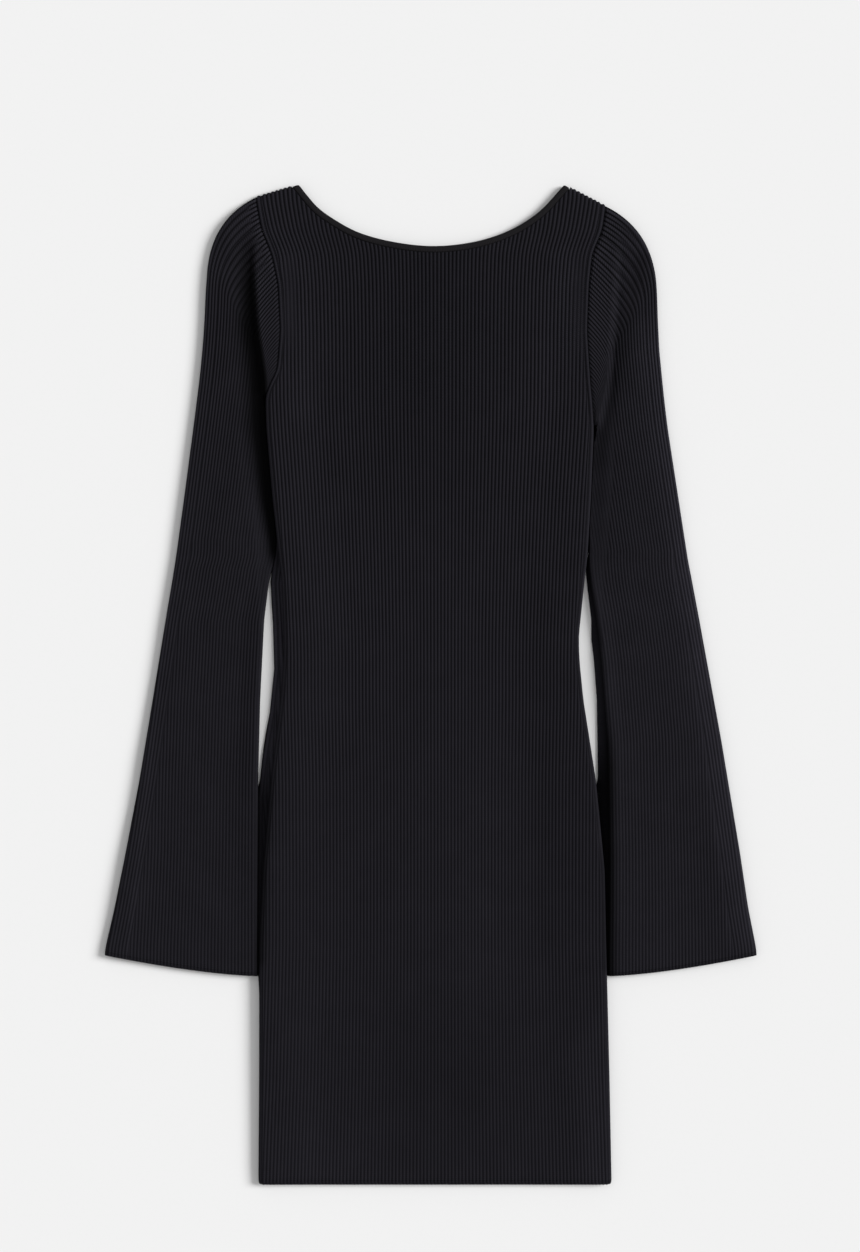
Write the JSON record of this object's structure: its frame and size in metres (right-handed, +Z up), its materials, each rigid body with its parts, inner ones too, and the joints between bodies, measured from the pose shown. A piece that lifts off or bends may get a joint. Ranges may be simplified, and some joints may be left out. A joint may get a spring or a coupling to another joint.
{
  "type": "bodycon dress",
  "caption": "Rib-knit bodycon mini dress with a wide boat neck and long flared sleeves, laid flat on its back.",
  "frame": {"origin": "on the surface that the dress lies on, under the middle of its outline", "axes": "+X to the right of the picture, +Y from the hem towards the neck, +Z up from the surface"},
  "size_m": [0.5544, 0.85, 0.0077],
  "materials": {
    "rib_knit": "matt black fine rib knit",
    "neck_band": "matt black plain knit, folded edge"
  },
  "bodies": {
    "root": {"front": "rib_knit", "back": "rib_knit", "neckband": "neck_band", "sleeve_left": "rib_knit", "sleeve_right": "rib_knit"}
  },
  "joints": []
}
